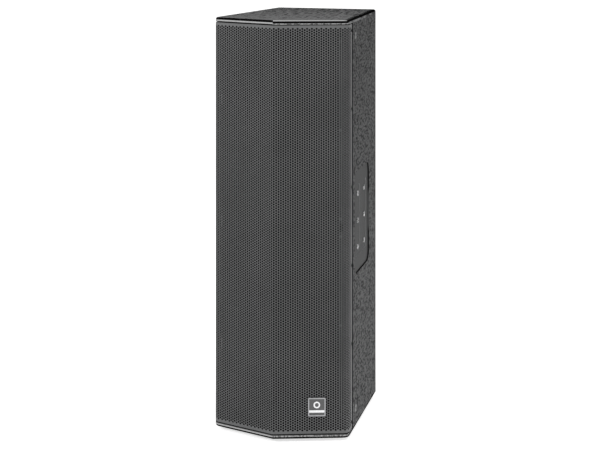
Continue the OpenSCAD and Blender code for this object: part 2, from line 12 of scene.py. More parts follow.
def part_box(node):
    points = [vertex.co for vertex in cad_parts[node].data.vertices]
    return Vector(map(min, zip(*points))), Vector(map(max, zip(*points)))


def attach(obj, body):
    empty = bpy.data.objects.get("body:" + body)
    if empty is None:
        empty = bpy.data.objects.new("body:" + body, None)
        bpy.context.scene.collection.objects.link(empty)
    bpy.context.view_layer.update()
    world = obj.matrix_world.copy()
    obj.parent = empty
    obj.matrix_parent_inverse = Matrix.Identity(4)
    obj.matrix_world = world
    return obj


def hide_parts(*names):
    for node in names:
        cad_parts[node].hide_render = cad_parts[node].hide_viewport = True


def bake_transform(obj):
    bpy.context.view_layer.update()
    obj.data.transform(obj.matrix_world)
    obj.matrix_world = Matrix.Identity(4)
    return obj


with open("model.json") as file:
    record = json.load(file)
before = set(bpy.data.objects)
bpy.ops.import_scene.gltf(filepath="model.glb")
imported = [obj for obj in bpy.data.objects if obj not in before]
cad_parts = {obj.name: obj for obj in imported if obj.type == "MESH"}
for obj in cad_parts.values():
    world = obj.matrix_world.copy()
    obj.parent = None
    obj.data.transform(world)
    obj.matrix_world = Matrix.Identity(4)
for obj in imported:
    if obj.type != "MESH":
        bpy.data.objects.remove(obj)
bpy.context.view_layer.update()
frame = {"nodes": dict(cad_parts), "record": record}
nodes = frame["nodes"]

MM = 0.001
CABINET = "cabinet"

# ---- places taken from the frame ----

grille_low, grille_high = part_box("front_grille")
top_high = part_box("top_panel")[1]
bottom_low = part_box("bottom_panel")[0]
cabinet_h = top_high.z - bottom_low.z
ridge_y = grille_low.y
mid_z = (top_high.z + bottom_low.z) / 2
plate_low, plate_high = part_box("right_side_plate")
plate_mid = (plate_low.z + plate_high.z) / 2

# Shape values of the folded grille and the boards round it, the same as in the CAD part
FACE_ANGLE = math.radians(20.25)
SIDE_TAPER = math.radians(5.3)
BEND_R = 20 * MM
SHEET_T = 1.5 * MM
FRONT_HALF = 183 * MM
RETURN_L = 46 * MM
GROOVE_END = RETURN_L + 14 * MM       # where the groove for the grille's edge ends along a side
RECESS_HALF = 140 * MM                # a little over half the height of the recess of a side plate
corner_y = ridge_y + FRONT_HALF * math.tan(FACE_ANGLE)

# Perforation
HOLE_R = 2.8 * MM
HOLE_SIDES = 8
COLUMN_STEP = 6.09 * MM
ROW_STEP = 6.49 * MM
COLUMNS = 37
PLAIN_EDGE = 7 * MM                   # least distance of a hole's middle from the sheet's ends
PLAIN_SIDE = 1 * MM                   # web kept beside the last column of holes
TINY = 1e-9


# ---- mesh helpers ----

def add_mesh(name, verts, faces, smooth_angle=35, recalculate=False):
    """A new object from vertices and faces, smooth except across edges sharper than smooth_angle degrees."""
    mesh = bpy.data.meshes.new(name)
    mesh.from_pydata([tuple(v) for v in verts], [], [tuple(f) for f in faces])
    mesh.validate()
    if recalculate:
        bm = bmesh.new()
        bm.from_mesh(mesh)
        bmesh.ops.recalc_face_normals(bm, faces=bm.faces)
        bm.to_mesh(mesh)
        bm.free()
    obj = bpy.data.objects.new(name, mesh)
    bpy.context.scene.collection.objects.link(obj)
    shade(obj, smooth_angle)
    return obj


def shade(obj, smooth_angle=35):
    mesh = obj.data
    mesh.polygons.foreach_set("use_smooth", [True] * len(mesh.polygons))
    mesh.set_sharp_from_angle(angle=math.radians(smooth_angle))
    mesh.update()


def revolve(profile, centre, segments=120):
    """A closed (radius, height) outline turned about a driver's axis; height points forwards."""
    n = len(profile)
    verts = []
    faces = []
    for s in range(segments):
        a = 2 * math.pi * s / segments
        verts += [(centre.x + r * math.cos(a), centre.y - h, centre.z + r * math.sin(a)) for r, h in profile]
        t = (s + 1) % segments
        for i in range(n):
            j = (i + 1) % n
            faces.append((s * n + i, t * n + i, t * n + j, s * n + j))
    return verts, faces


def cabinet_piece(obj, slot, replaced):
    """Fixes obj to the cabinet in place of a CAD node, with the slot's material."""
    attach(obj, CABINET)
    paint(obj, MATERIALS[slot])
    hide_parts(replaced)


def paint(obj, material):
    obj.data.materials.clear()
    obj.data.materials.append(material)


# ---- materials ----

class Shader:
    """A node material: calls add nodes, and link() joins them."""

    def __init__(self, name, roughness=0.5, metallic=0.0, specular=0.5):
        self.material = bpy.data.materials.new(name)
        self.material.use_nodes = True
        self.tree = self.material.node_tree
        self.bsdf = self.tree.nodes["Principled BSDF"]
        self.bsdf.inputs["Roughness"].default_value = roughness
        self.bsdf.inputs["Metallic"].default_value = metallic
        self.bsdf.inputs["Specular IOR Level"].default_value = specular
        self.coords = self.tree.nodes.new("ShaderNodeTexCoord").outputs["Object"]
        self.normal = None

    def node(self, kind, **values):
        made = self.tree.nodes.new(kind)
        for key, value in values.items():
            if key in made.inputs:
                made.inputs[key].default_value = value
            else:
                setattr(made, key, value)
        return made

    def link(self, source, target):
        self.tree.links.new(source, target)

    def noise(self, size, detail=3.0, roughness=0.55, stretch=None):
        """Noise whose grains are about size across; stretch squeezes it along x, y and z."""
        made = self.node("ShaderNodeTexNoise", Scale=1.0 / size, Detail=detail, Roughness=roughness)
        source = self.coords
        if stretch:
            mapping = self.node("ShaderNodeMapping")
            mapping.inputs["Scale"].default_value = stretch
            self.link(source, mapping.inputs["Vector"])
            source = mapping.outputs["Vector"]
        self.link(source, made.inputs["Vector"])
        return made.outputs["Fac"]

    def cells(self, size):
        """Distance from the middle of the nearest cell; the cells are about size across."""
        made = self.node("ShaderNodeTexVoronoi", Scale=1.0 / size)
        self.link(self.coords, made.inputs["Vector"])
        return made.outputs["Distance"]

    def wave(self, pitch, direction, distortion=0.0, detail=2.0):
        """Sine bands of about pitch across one axis."""
        made = self.node("ShaderNodeTexWave", Scale=1.0 / (pitch * 20), Distortion=distortion, Detail=detail)
        made.bands_direction = direction
        self.link(self.coords, made.inputs["Vector"])
        return made.outputs["Fac"]

    def parts(self, vector):
        """X, Y and Z of a vector."""
        made = self.node("ShaderNodeSeparateXYZ")
        self.link(vector, made.inputs["Vector"])
        return made.outputs

    def facing(self):
        """X, Y and Z of the surface's normal."""
        return self.parts(self.node("ShaderNodeNewGeometry").outputs["Normal"])

    def ramp(self, source, stops):
        """Maps a value through (place, grey or colour) stops."""
        made = self.tree.nodes.new("ShaderNodeValToRGB")
        elements = made.color_ramp.elements
        while len(elements) < len(stops):
            elements.new(0.5)
        for element, (place, value) in zip(elements, stops):
            element.position = place
            colour = (value, value, value) if isinstance(value, (int, float)) else value
            element.color = (*colour, 1.0)
        self.link(source, made.inputs["Fac"])
        return made.outputs["Color"]

    def math(self, operation, a, b):
        made = self.node("ShaderNodeMath", operation=operation)
        for socket, value in zip(made.inputs, (a, b)):
            if isinstance(value, (int, float)):
                socket.default_value = value
            else:
                self.link(value, socket)
        return made.outputs["Value"]

    def product(self, value, *factors):
        for factor in factors:
            value = self.math("MULTIPLY", value, factor)
        return value

    def minus(self, a, b):
        return self.math("SUBTRACT", a, b)

    def over(self, a, b):
        return self.math("DIVIDE", a, b)

    def magnitude(self, value):
        """The value without its sign."""
        return self.math("ABSOLUTE", value, 0.0)

    def mix(self, factor, a, b, blend="MIX"):
        """Mixes two colours, each a socket or a tuple."""
        made = self.tree.nodes.new("ShaderNodeMix")
        made.data_type = "RGBA"
        made.blend_type = blend
        for key, value in (("Factor_Float", factor), ("A_Color", a), ("B_Color", b)):
            socket = next(s for s in made.inputs if s.identifier == key)
            if isinstance(value, (int, float)):
                socket.default_value = value
            elif isinstance(value, tuple):
                socket.default_value = (*value, 1.0)
            else:
                self.link(value, socket)
        return next(s for s in made.outputs if s.identifier == "Result_Color")

    def tint(self, base, by):
        """The base colour multiplied by a grey."""
        return self.mix(1.0, base, by, "MULTIPLY")

    def bump(self, height, depth):
        """Adds relief of about depth from a 0 to 1 height."""
        made = self.node("ShaderNodeBump", Strength=1.0, Distance=depth)
        self.link(height, made.inputs["Height"])
        if self.normal:
            self.link(self.normal, made.inputs["Normal"])
        self.normal = made.outputs["Normal"]

    def done(self, colour, roughness=None):
        """The finished material."""
        self.link(colour, self.bsdf.inputs["Base Color"])
        if roughness is not None:
            self.link(roughness, self.bsdf.inputs["Roughness"])
        if self.normal:
            self.link(self.normal, self.bsdf.inputs["Normal"])
        return self.material


def grey(value, tint=0.0):
    """A grey that leans towards blue by tint."""
    return (value * (1 - tint), value, value * (1 + tint))


def textured_paint(name, value, edges):
    """Hard-wearing structured cabinet paint: a pebbled skin whose raised grains are a little lighter; the
    speckle is partly random tone and partly painted light standing in for the light and shade on the relief.
    """
    s = Shader(name, specular=MATT)
    fine = s.noise(2.6 * MM, detail=4.0, roughness=0.6)
    coarse = s.noise(7 * MM, detail=3.0, roughness=0.6)
    broad = s.noise(120 * MM, detail=2.0)
    pebbles = s.cells(3.6 * MM)
    s.bump(s.math("ADD", s.product(fine, 0.65), s.product(pebbles, 0.35)), 0.25 * MM)
    grains = s.math("ADD", s.product(fine, 0.35), s.product(coarse, 0.65))
    # part random tone, part painted light for the light and shade on the relief
    speckle = s.ramp(grains, [(0.40, grey(value * 0.6, 0.01)), (0.50, grey(value, 0.01)),
                              (0.60, grey(value * 1.5, 0.01))])
    base = s.tint(speckle, s.ramp(broad, [(0.35, 0.94), (0.65, 1.05)]))
    # the edge function passed in adds painted shade and painted highlights along the board's edges
    return s.done(edges(s, base, value), s.ramp(fine, [(0.3, 0.7), (0.7, 0.52)]))


def side_edge_painted_shade(s, base, value):
    """Painted shade on an upright board towards and round its back edge."""
    place = s.parts(s.coords)
    behind = s.over(s.minus(top_high.y, place["Y"]), EDGE_REACH)
    facing_back = s.ramp(s.facing()["Y"], [(0.85, 1.0), (0.97, 0.0)])
    # painted shade: the paint darkens near the back edge and where the board turns round it
    edge = s.product(s.ramp(behind, [(0.4, 1.0), (0.7, 0.0)]), facing_back)
    # the sheen at a low angle comes in grains and stops short of the back edge
    sheen = s.ramp(s.noise(6 * MM, detail=2.0, stretch=(1.0, 0.4, 1.0)), [(0.46, 0.0), (0.54, SIDE_GLOSS)])
    lit = s.ramp(behind, [(0.75, 0.0), (1.0, 1.0)])
    s.link(s.product(sheen, lit), s.bsdf.inputs["Specular IOR Level"])
    return s.mix(edge, base, grey(value * 0.15))


def lid_edge_painted_light(s, base, value):
    """Painted light along a lid's edges: painted shade where they turn over and a painted highlight on the
    front lip.
    """
    place = s.parts(s.coords)
    facing = s.facing()
    up = s.magnitude(facing["Z"])
    forward = s.ramp(s.product(facing["Y"], -1.0), [(0.25, 0.0), (0.45, 1.0)])
    # the right face's top edge catches the light first, so its painted shade and painted highlight bands lie
    # lower
    right = s.math("GREATER_THAN", place["X"], 0.0)
    right_top = s.product(right, s.math("GREATER_THAN", place["Z"], mid_z), forward)
    # 0 at the board's outer face and 1 at BAND below it
    down = s.over(s.minus(cabinet_h / 2, s.magnitude(s.minus(place["Z"], mid_z))), BAND)
    lower = s.minus(down, s.product(right_top, 0.22))
    # at the sides of the bottom board the painted shade reaches further up
    low_side = s.product(s.math("LESS_THAN", place["Z"], mid_z), s.minus(1.0, forward))
    lower = s.product(lower, s.minus(1.0, s.product(low_side, 0.4)))
    # painted shade where the edge turns over and under the front lip, a painted highlight on the lip, and a
    # painted highlight (glint) along the right face's top edge
    turned = s.ramp(up, [(0.975, 1.0), (0.995, 0.0)])
    shade = s.product(s.ramp(lower, [(0.0, 0.0), (0.03, 1.0), (0.44, 1.0), (0.52, 0.0)]), turned)
    lip = s.product(s.ramp(lower, [(0.44, 0.0), (0.54, 1.0), (0.70, 1.0), (0.84, 0.0)]), forward)
    under = s.product(s.ramp(lower, [(0.80, 0.0), (0.88, 1.0)]), forward)
    painted_glint = s.product(s.ramp(down, [(0.17, 1.0), (0.24, 0.0)]), right_top, turned)
    # the right lip's painted highlight is broken into dots by the paint's grain
    dots = s.ramp(s.noise(5 * MM, detail=1.0), [(0.42, 0.25), (0.56, 1.0)])
    lip_painted_shine = grey(value * LIP_PAINTED_SHINE)
    base = s.mix(lip, base, s.mix(right, lip_painted_shine, s.tint(lip_painted_shine, dots)))
    base = s.mix(painted_glint, base, grey(value * LIP_PAINTED_SHINE * 1.5))
    # painted shade: the flat of the board darkens towards its side and back edges
    outwards = s.math("ADD", s.product(s.magnitude(place["X"]), math.cos(SIDE_TAPER)),
                      s.product(place["Y"], math.sin(SIDE_TAPER)))
    beside = s.minus(FRONT_HALF * math.cos(SIDE_TAPER) + corner_y * math.sin(SIDE_TAPER), outwards)
    behind = s.minus(top_high.y, place["Y"])
    border = s.ramp(s.over(s.math("MINIMUM", beside, behind), EDGE_REACH), [(0.35, 1.0), (0.7, 0.0)])
    dark = s.math("MAXIMUM", s.math("MAXIMUM", shade, under), s.product(border, s.minus(1.0, turned)))
    # painted light: the top is lighter towards the front
    way_back = s.over(s.minus(place["Y"], ridge_y), top_high.y - ridge_y)
    base = s.tint(base, s.ramp(way_back, [(0.0, 1.2), (1.0, 0.8)]))
    # the sheen at a low angle comes in grains, fewer of them towards the back
    grains = s.minus(s.noise(7 * MM, detail=2.0, stretch=(1.0, 0.15, 1.0)), s.product(way_back, 0.155))
    sheen = s.ramp(grains, [(0.37, 0.0), (0.42, LID_GLOSS)])
    s.link(s.product(sheen, s.minus(1.0, dark)), s.bsdf.inputs["Specular IOR Level"])
    # the painted shade is mixed in almost black
    return s.mix(dark, base, grey(value * 0.05))


def powder_coat(name, value, roughness=0.45, specular=0.5):
    """Smooth satin powder coat with a faint orange peel."""
    s = Shader(name, specular=specular)
    peel = s.noise(1.6 * MM, detail=2.0)
    broad = s.noise(140 * MM, detail=2.0)
    s.bump(peel, 0.03 * MM)
    base = s.ramp(broad, [(0.3, grey(value * 0.92, 0.01)), (0.7, grey(value * 1.08, 0.01))])
    fine = s.ramp(peel, [(0.3, 0.94), (0.7, 1.05)])
    rough = s.ramp(peel, [(0.3, roughness + 0.06), (0.7, roughness - 0.05)])
    return s.done(s.tint(base, fine), rough)


def recess_wall_painted_light(name, value):
    """Paint on the walls of the side plates' recesses: painted light in the middle, lighter than the cabinet
    paint, and painted shade near their corners.
    """
    s = Shader(name, specular=MATT)
    away = s.over(s.magnitude(s.minus(s.parts(s.coords)["Z"], plate_mid)), 100 * MM)
    return s.done(s.ramp(away, [(0.42, grey(value, 0.01)), (0.58, grey(value * 0.12, 0.01))]))


def metal(name, colour, roughness=0.3, grain=(1.0, 1.0, 0.08)):
    """Bare or plated metal with fine drawn marks."""
    s = Shader(name, metallic=1.0)
    lines = s.noise(0.8 * MM, detail=3.0, stretch=grain)
    stain = s.noise(14 * MM, detail=3.0)
    s.bump(lines, 0.02 * MM)
    base = s.ramp(stain, [(0.3, tuple(c * 0.86 for c in colour)), (0.7, colour)])
    rough = s.ramp(lines, [(0.3, roughness + 0.1), (0.7, max(roughness - 0.08, 0.08))])
    return s.done(base, rough)


def worn_steel(name, value):
    """Black-plated steel worn through to bright patches."""
    s = Shader(name, roughness=0.32)
    wear = s.ramp(s.noise(5 * MM, detail=1.0), [(0.50, 0.0), (0.55, 1.0)])
    s.link(wear, s.bsdf.inputs["Metallic"])
    return s.done(s.mix(wear, grey(value), grey(0.9)))


def moulded_plastic(name, value):
    s = Shader(name, specular=0.45)
    grain = s.noise(0.7 * MM, detail=2.0)
    broad = s.noise(60 * MM, detail=2.0)
    s.bump(grain, 0.05 * MM)
    base = s.ramp(broad, [(0.3, grey(value * 0.85)), (0.7, grey(value * 1.1))])
    return s.done(base, s.ramp(grain, [(0.3, 0.6), (0.7, 0.42)]))


def rubber(name, value):
    s = Shader(name, specular=0.3)
    grain = s.noise(1.2 * MM, detail=4.0)
    s.bump(grain, 0.06 * MM)
    base = s.ramp(s.noise(20 * MM), [(0.3, grey(value * 0.8)), (0.7, grey(value * 1.25))])
    return s.done(base, s.ramp(grain, [(0.3, 0.82), (0.7, 0.62)]))


def open_foam(name, value):
    """Open-cell foam: dark pores between paler struts, the pores' darkness painted shade."""
    s = Shader(name, roughness=0.95, specular=0.1)
    pores = s.cells(1.7 * MM)
    small = s.noise(0.6 * MM, detail=3.0)
    s.bump(s.math("ADD", s.product(pores, 0.8), s.product(small, 0.2)), 0.8 * MM)
    base = s.ramp(pores, [(0.15, grey(value * 0.25)), (0.55, grey(value))])
    return s.done(base)


def wadding(name, colour):
    """Matted polyester fibre."""
    s = Shader(name, roughness=1.0, specular=0.05)
    fibre = s.noise(1.5 * MM, detail=5.0, roughness=0.7, stretch=(0.25, 1.0, 1.0))
    cross = s.noise(1.5 * MM, detail=5.0, roughness=0.7, stretch=(1.0, 1.0, 0.25))
    s.bump(s.math("MAXIMUM", fibre, cross), 1.2 * MM)
    base = s.ramp(fibre, [(0.3, tuple(c * 0.55 for c in colour)), (0.7, colour)])
    return s.done(base)


def plywood(name, face):
    """Birch plywood: long grain on the faces and plies showing at the edges."""
    s = Shader(name, roughness=0.6, specular=0.25)
    grain = s.noise(5 * MM, detail=6.0, roughness=0.65, stretch=(0.06, 1.0, 1.0))
    plies = s.wave(1.4 * MM, "Z", distortion=0.6)
    s.bump(grain, 0.06 * MM)
    base = s.ramp(grain, [(0.25, tuple(c * 0.62 for c in face)), (0.75, face)])
    return s.done(s.mix(0.5, base, s.tint(base, s.ramp(plies, [(0.3, 0.86), (0.7, 1.0)]))))


def woven_cloth(name, colour):
    """Resin-dipped plain weave."""
    s = Shader(name, roughness=0.75, specular=0.3)
    weave = s.product(*[s.wave(0.9 * MM, direction, distortion=0.4, detail=1.0) for direction in "XZ"])
    s.bump(weave, 0.2 * MM)
    # painted shade in the hollows of the weave
    base = s.ramp(weave, [(0.0, tuple(c * 0.6 for c in colour)), (0.7, colour)])
    return s.done(base)


def coated_paper(name, value):
    """Pulp cone with a dark coating."""
    s = Shader(name, specular=0.35)
    pulp = s.noise(2.2 * MM, detail=6.0, roughness=0.7)
    fibres = s.noise(6 * MM, detail=3.0)
    s.bump(pulp, 0.12 * MM)
    base = s.ramp(fibres, [(0.3, grey(value * 0.7)), (0.7, grey(value * 1.3))])
    return s.done(base, s.ramp(pulp, [(0.3, 0.75), (0.7, 0.5)]))


def wound_wire(name, colour):
    """Close turns of enamelled wire."""
    s = Shader(name, metallic=0.9)
    turns = s.wave(0.5 * MM, "Y")
    s.bump(turns, 0.2 * MM)
    # painted shade in the grooves between the turns
    base = s.ramp(turns, [(0.1, tuple(c * 0.45 for c in colour)), (0.6, colour)])
    return s.done(base, s.ramp(turns, [(0.2, 0.5), (0.8, 0.25)]))


def circuit(name):
    """Solder mask with copper tracks under it."""
    s = Shader(name, roughness=0.35, specular=0.5)
    tracks = s.node("ShaderNodeTexBrick", Scale=60.0)
    s.link(s.coords, tracks.inputs["Vector"])
    base = s.ramp(tracks.outputs["Fac"], [(0.0, (0.02, 0.11, 0.045)), (1.0, (0.03, 0.17, 0.07))])
    mottled = s.ramp(s.noise(9 * MM), [(0.4, 0.85), (0.6, 1.1)])
    return s.done(s.tint(base, mottled))


MATT = 0.02                           # specular level of matt paint
LID_GLOSS = 0.62                      # specular level of a lid's glossy grains
SIDE_GLOSS = 0.12                     # the same on the sides
LIP_PAINTED_SHINE = 4.4                       # how much lighter the painted highlight on a lid's lip is than its paint
BAND = 12 * MM                        # height of the painted shade and highlight bands on a lid's edge
EDGE_REACH = 20 * MM                  # how far from an edge its painted shade reaches

MATERIALS = {
    "cabinet_paint": textured_paint("cabinet_paint", 0.032, side_edge_painted_shade),
    # the lids' paint is lighter than the same paint on the sides: painted light
    "lid_paint_painted_light": textured_paint("lid_paint_painted_light", 0.06, lid_edge_painted_light),
    "baffle_paint": textured_paint("baffle_paint", 0.03, side_edge_painted_shade),
    "bare_plywood": plywood("bare_plywood", (0.62, 0.46, 0.28)),
    "wadding": wadding("wadding", (0.62, 0.61, 0.57)),
    "grille_paint": powder_coat("grille_paint", 0.115, roughness=0.5, specular=0.04),
    "grille_foam": open_foam("grille_foam", 0.006),
    "plate_paint": powder_coat("plate_paint", 0.034, roughness=0.5, specular=MATT),
    "badge_paint": powder_coat("badge_paint", 0.07, roughness=0.35),
    "badge_silver": metal("badge_silver", (0.36, 0.36, 0.37), 0.4),
    "badge_bright": metal("badge_bright", (0.84, 0.84, 0.85), 0.45),
    # near-black painted shade on the groove's floor behind the grille's edge and on the grille's screws
    "groove_painted_shade": powder_coat("groove_painted_shade", 0.004, roughness=0.9, specular=0.0),
    # dark painted shade on the walls of the grille's holes
    "hole_painted_shade": powder_coat("hole_painted_shade", 0.012, roughness=0.8, specular=0.1),
    "worn_steel": worn_steel("worn_steel", 0.02),
    "recess_wall_painted_light": recess_wall_painted_light("recess_wall_painted_light", 0.1),
    # painted highlight on the steps of the channels in the side plates
    "channel_step_painted_highlight": powder_coat("channel_step_painted_highlight", 0.3, roughness=0.5, specular=0.1),
    "insert_steel": metal("insert_steel", (0.22, 0.22, 0.22), 0.5),
    "black_steel": powder_coat("black_steel", 0.045, roughness=0.35),
    "zinc_steel": metal("zinc_steel", (0.62, 0.62, 0.63), 0.34),
    "rubber": rubber("rubber", 0.02),
    "cast_aluminium": metal("cast_aluminium", (0.34, 0.34, 0.35), 0.5, grain=(1.0, 1.0, 1.0)),
    "surround_rubber": rubber("surround_rubber", 0.022),
    "spider_cloth": woven_cloth("spider_cloth", (0.62, 0.42, 0.19)),
    "cone_paper": coated_paper("cone_paper", 0.03),
    "copper": wound_wire("copper", (0.80, 0.42, 0.22)),
    "ferrite": moulded_plastic("ferrite", 0.05),
    "black_plastic": moulded_plastic("black_plastic", 0.028),
    "titanium": metal("titanium", (0.66, 0.66, 0.69), 0.3),
    "circuit_board": circuit("circuit_board"),
}
LID_NODES = ("top_panel", "bottom_panel")
slot_of = {row["node"]: row["material_slot"] for row in frame["record"]["subparts"]}
for name, obj in nodes.items():
    slot = slot_of[name]
    paint(obj, MATERIALS["lid_paint_painted_light" if name in LID_NODES else slot])
    shade(obj, 30)


def paint_faces(obj, material, chosen):
    """A second material on the faces whose middle point passes chosen(point)."""
    obj.data.materials.append(material)
    index = len(obj.data.materials) - 1
    for polygon in obj.data.polygons:
        if chosen(obj.matrix_world @ polygon.center):
            polygon.material_index = index


def side_frame(p):
    """(depth under the side's surface, distance along it from the front corner) of a point."""
    x, y = abs(p.x) - FRONT_HALF, p.y - corner_y
    return (-(x * math.cos(SIDE_TAPER) + y * math.sin(SIDE_TAPER)),
            y * math.cos(SIDE_TAPER) - x * math.sin(SIDE_TAPER))


# The badge's ring and band are brighter than its frame
badge_low, badge_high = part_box("badge_trim")
badge_centre = (badge_low + badge_high) / 2
OPENING_X = 19.6 * MM * math.cos(FACE_ANGLE)
OPENING_Z = 20.6 * MM
paint_faces(nodes["badge_trim"], MATERIALS["badge_bright"],
            lambda p: abs(p.x - badge_centre.x) < OPENING_X and abs(p.z - badge_centre.z) < OPENING_Z)


def in_groove(p):
    """The floor of the groove behind the grille's edge."""
    depth, along = side_frame(p)
    return 0.5 * MM < depth < 2.5 * MM and along < GROOVE_END


def in_recess(p):
    """The walls round a side plate."""
    depth, along = side_frame(p)
    return 0.5 * MM < depth < 7.4 * MM and along > GROOVE_END and abs(p.z - plate_mid) < RECESS_HALF


def on_channel_step(p):
    """The steps of the channels pressed in a side plate."""
    return 3.6 * MM < side_frame(p)[0] < 4.2 * MM


# painted shade on the groove floors, painted light and shade on the recess walls, and a painted highlight on
# the channel steps
for side in ("left", "right"):
    paint_faces(nodes[side + "_side_panel"], MATERIALS["groove_painted_shade"], in_groove)
    paint_faces(nodes[side + "_side_panel"], MATERIALS["recess_wall_painted_light"], in_recess)
    paint_faces(nodes[side + "_side_plate"], MATERIALS["channel_step_painted_highlight"], on_channel_step)

# The inserts in the top board are painted over with the cabinet; those in the sides are bare
paint(nodes["rigging_inserts"], MATERIALS["insert_steel"])
paint_faces(nodes["rigging_inserts"], MATERIALS["black_steel"], lambda p: p.z > top_high.z - 15 * MM)
# The screws on the side plates are worn bright, and those of the grille get near-black painted shade
paint(nodes["side_plate_screws"], MATERIALS["worn_steel"])
paint(nodes["grille_screws"], MATERIALS["groove_painted_shade"])


# ---- the folded, perforated grille ----

FACE_L = FRONT_HALF / math.cos(FACE_ANGLE)
BEND_TURN = math.pi / 2 - FACE_ANGLE + SIDE_TAPER
TANGENT_L = BEND_R * math.tan(BEND_TURN / 2)
BEND_START = FACE_L - TANGENT_L
BEND_END = BEND_START + BEND_R * BEND_TURN
SHEET_END = BEND_END + RETURN_L - TANGENT_L
face_along = np.array([math.cos(FACE_ANGLE), math.sin(FACE_ANGLE)])
face_in = np.array([-math.sin(FACE_ANGLE), math.cos(FACE_ANGLE)])
side_along = np.array([-math.sin(SIDE_TAPER), math.cos(SIDE_TAPER)])
side_in = np.array([-math.cos(SIDE_TAPER), -math.sin(SIDE_TAPER)])
ridge = np.array([0.0, ridge_y])
bend_centre = ridge + face_along * BEND_START + face_in * BEND_R


def sheet_point(u, z, depth):
    """Right half of the sheet: u runs from the ridge over the bend to the return's edge."""
    if u <= TINY:
        xy = ridge + np.array([0.0, depth / math.cos(FACE_ANGLE)])
    elif u <= BEND_START:
        xy = ridge + face_along * u + face_in * depth
    elif u <= BEND_END:
        a = FACE_ANGLE - math.pi / 2 + (u - BEND_START) / BEND_R
        xy = bend_centre + (BEND_R - depth) * np.array([math.cos(a), math.sin(a)])
    else:
        xy = bend_centre - side_in * (BEND_R - depth) + side_along * (u - BEND_END)
    return (xy[0], xy[1], z)


def perforated_flat(z_low, z_high, stagger):
    """The sheet laid flat: vertices (u, z), web faces and the u of its outer edge."""
    rows = int((z_high - z_low - 2 * PLAIN_EDGE) / ROW_STEP) + 1
    first_z = (z_low + z_high - (rows - 1) * ROW_STEP) / 2
    edge_u = COLUMNS * COLUMN_STEP + PLAIN_SIDE
    points, index = [], {}

    def vertex(u, z):
        # points within a tenth of a micrometre are one vertex
        key = (round(u * 1e7), round(z * 1e7))
        if key not in index:
            index[key] = len(points)
            points.append((u, z))
        return index[key]

    corners = [(HOLE_R * math.cos(a), HOLE_R * math.sin(a))
               for a in (2 * math.pi * (k + 0.5) / HOLE_SIDES for k in range(HOLE_SIDES))]

    def shifted(c):
        return (c + stagger) % 2

    def hole(c, r):
        """Rim vertices of a hole; one beyond the pattern is pressed flat onto the sheet's edge."""
        u = (c + 0.5) * COLUMN_STEP
        z = first_z + (r + 0.5 * shifted(c)) * ROW_STEP
        beside = c < 0 or c >= COLUMNS
        below, above = r < 0, r >= rows - shifted(c)
        rim = []
        for x, y in corners:
            u_rim = (0.0 if c < 0 else edge_u) if beside else u + x
            z_rim = z_low if below else z_high if above else z + y
            rim.append(vertex(u_rim, z_rim))
        return rim

    # a rim's eight corners run anticlockwise: 0 and 7 face right, 1 and 2 up, 3 and 4 left, 5 and 6 down
    holes = {(c, r): hole(c, r) for c in range(-1, COLUMNS + 1) for r in range(-2, rows + 2)}
    faces = []
    for c in range(-1, COLUMNS):
        for r in range(-1, rows + 1):
            a, up = holes[c, r], holes[c, r + 1]
            step = shifted(c)
            upper, lower = holes[c + 1, r + step], holes[c + 1, r + step - 1]
            faces.append((a[1], up[6], up[5], a[2]))
            faces.append((a[1], a[0], upper[4], upper[3], up[7], up[6]))
            faces.append((a[0], a[7], lower[3], lower[2], upper[5], upper[4]))
    for r in range(-1, rows + 1):
        a, up = holes[COLUMNS, r], holes[COLUMNS, r + 1]
        faces.append((a[1], up[6], up[5], a[2]))
    return points, faces, edge_u


def clean_loop(loop):
    """A face's corners with neighbours that fell together dropped."""
    out = [v for i, v in enumerate(loop) if v != loop[i - 1]]
    return out if len(set(out)) == len(out) and len(out) >= 3 else []


def area(points, loop):
    corners = [points[v] for v in loop]
    return 0.5 * sum(u0 * z1 - u1 * z0 for (u0, z0), (u1, z1) in zip(corners[-1:] + corners, corners))


def perforated_half(stagger):
    """One side of the sheet laid flat: points (u, z) and faces, from the ridge to the return's edge."""
    points, web, edge_u = perforated_flat(grille_low.z, grille_high.z, stagger)
    front = []
    for loop in web:
        loop = clean_loop(loop)
        a = area(points, loop) if loop else 0.0
        if abs(a) > TINY * MM:
            front.append(loop if a > 0 else loop[::-1])
    # the plain strip behind the last holes, with the web's own edge points
    strip = sorted((z, i) for i, (u, z) in enumerate(points) if abs(u - edge_u) < TINY)
    far = {}
    for z, i in strip:
        far[i] = len(points)
        points.append((SHEET_END, z))
    for (z0, i), (z1, j) in zip(strip, strip[1:]):
        front.append([i, far[i], far[j], j])
    return points, front


def thick_sheet(name, points, front, side):
    """A closed mesh of the sheet over some of its flat faces; its holes' walls get a second material, a dark
    painted shade.
    """
    used = {(loop[k - 1], v) for loop in front for k, v in enumerate(loop)}
    walls = [(w, v) for v, w in sorted(used) if (w, v) not in used]

    def on_rim(v, w):
        """Whether a wall lies on the sheet's own edge and not in a hole."""
        (u0, z0), (u1, z1) = points[v], points[w]
        return z0 == z1 and z0 in (grille_low.z, grille_high.z) or u0 == u1 == SHEET_END

    index = {}
    for loop in front:
        for v in loop:
            index.setdefault(v, len(index))
    n = len(index)
    verts = [sheet_point(*points[v], depth) for depth in (0.0, SHEET_T) for v in index]
    faces = [tuple(index[v] for v in loop) for loop in front]
    faces += [tuple(v + n for v in reversed(loop)) for loop in faces]
    in_hole = [False] * len(faces) + [not on_rim(*wall) for wall in walls]
    faces += [(index[w], index[v], index[v] + n, index[w] + n) for w, v in walls]
    if side < 0:
        verts = [(-x, y, z) for x, y, z in verts]
        faces = [tuple(reversed(f)) for f in faces]
    sheet = add_mesh(name, verts, faces, 50)
    cabinet_piece(sheet, "grille_paint", "front_grille")
    sheet.data.materials.append(MATERIALS["hole_painted_shade"])
    sheet.data.polygons.foreach_set("material_index", np.array(in_hole, dtype=np.int32))


